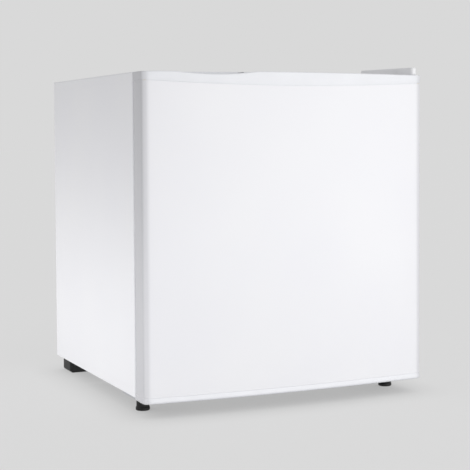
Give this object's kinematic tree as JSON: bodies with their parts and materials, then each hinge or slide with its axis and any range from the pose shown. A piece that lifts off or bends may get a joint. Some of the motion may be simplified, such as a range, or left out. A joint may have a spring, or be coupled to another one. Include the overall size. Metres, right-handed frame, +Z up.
{
  "type": "mini fridge",
  "caption": "Cube-shaped table-top refrigerator with a bowed right-hinged door, an ice box, door racks and a wire condenser behind.",
  "frame": {"origin": "on the floor under the middle of the whole fridge, left to right and front to back", "axes": "+X to the right for someone facing the door, +Y from the door towards the back, +Z up"},
  "size_m": [0.46, 0.4715, 0.505],
  "materials": {
    "enamel": "gloss",
    "galvanised_steel": "satin",
    "zinc_plate": "satin",
    "insulation_foam": "matte",
    "liner_plastic": "satin",
    "cap_plastic": "satin",
    "black_plastic": "matte",
    "rubber": "matte",
    "gasket_vinyl": "matte",
    "black_enamel": "satin",
    "cast_iron": "matte",
    "copper_tube": "satin",
    "aluminium": "satin",
    "coated_wire": "gloss",
    "acetal": "matte"
  },
  "bodies": {
    "cabinet": {"outer_wrap": "enamel", "rear_panel": "galvanised_steel", "bottom_panel": "galvanised_steel", "bay_panel": "galvanised_steel", "foam_insulation": "insulation_foam", "inner_liner": "liner_plastic", "upper_hinge": "zinc_plate", "lower_hinge": "zinc_plate", "left_foot_plate": "zinc_plate", "hinge_cover": "cap_plastic", "hinge_screws": "zinc_plate", "hole_plugs": "cap_plastic", "foot_inserts": "zinc_plate", "rear_feet": "black_plastic", "crossmember": "galvanised_steel", "compressor_lower_shell": "black_enamel", "compressor_upper_shell": "black_enamel", "compressor_pump": "cast_iron", "compressor_grommets": "rubber", "compressor_bolts": "zinc_plate", "relay_cover": "black_plastic", "cable_inlet": "rubber", "suction_pipe": "copper_tube", "discharge_pipe": "copper_tube", "filter_drier": "copper_tube", "capillary_tube": "copper_tube", "condenser_tube": "black_enamel", "condenser_wires": "black_enamel", "condenser_clips": "black_plastic", "condenser_screws": "zinc_plate", "evaporator": "aluminium", "evaporator_hangers": "liner_plastic", "evaporator_screws": "zinc_plate", "ice_bezel": "liner_plastic", "thermostat_housing": "liner_plastic", "thermostat_switch": "zinc_plate"},
    "door": {"door_skin": "enamel", "door_top_cap": "cap_plastic", "door_bottom_cap": "cap_plastic", "door_foam": "insulation_foam", "door_liner": "liner_plastic", "door_gasket": "gasket_vinyl", "door_bushes": "acetal", "door_plugs": "cap_plastic"},
    "ice_flap": {"ice_flap": "liner_plastic"},
    "dial": {"thermostat_knob": "liner_plastic"},
    "shelf": {"wire_shelf": "coated_wire", "shelf_trim": "liner_plastic"},
    "drip_tray": {"drip_tray": "liner_plastic"},
    "can_rack": {"can_rack": "liner_plastic"},
    "bottle_rack": {"bottle_rack": "liner_plastic"},
    "left_foot": {"left_foot": "black_plastic"},
    "right_foot": {"right_foot": "black_plastic"}
  },
  "joints": [
    {"name": "door_swing", "type": "hinge", "parent": "cabinet", "child": "door", "pos_m": [0.222, -0.20425, 0.25], "axis": [0, 0, 1], "range_deg": [0, 120]},
    {"name": "flap_lift", "type": "hinge", "parent": "cabinet", "child": "ice_flap", "pos_m": [-0.057, -0.05375, 0.44], "axis": [-1, 0, 0], "range_deg": [0, 90]},
    {"name": "dial_turn", "type": "hinge", "parent": "cabinet", "child": "dial", "pos_m": [0.127, -0.03425, 0.426], "axis": [0, -1, 0], "range_deg": [0, 270]},
    {"name": "shelf_slide", "type": "slide", "parent": "cabinet", "child": "shelf", "axis": [0, -1, 0], "range_m": [0, 0.055]},
    {"name": "tray_slide", "type": "slide", "parent": "cabinet", "child": "drip_tray", "axis": [0, -1, 0], "range_m": [0, 0.055]},
    {"name": "can_rack_lift", "type": "slide", "parent": "door", "child": "can_rack", "axis": [0, 0, 1], "range_m": [0, 0.015]},
    {"name": "bottle_rack_lift", "type": "slide", "parent": "door", "child": "bottle_rack", "axis": [0, 0, 1], "range_m": [0, 0.015]},
    {"name": "left_foot_turn", "type": "hinge", "parent": "cabinet", "child": "left_foot", "pos_m": [-0.206, -0.15425, 0], "axis": [0, 0, 1], "range_deg": [-360, 360]},
    {"name": "right_foot_turn", "type": "hinge", "parent": "cabinet", "child": "right_foot", "pos_m": [0.206, -0.15425, 0], "axis": [0, 0, 1], "range_deg": [-360, 360]}
  ]
}
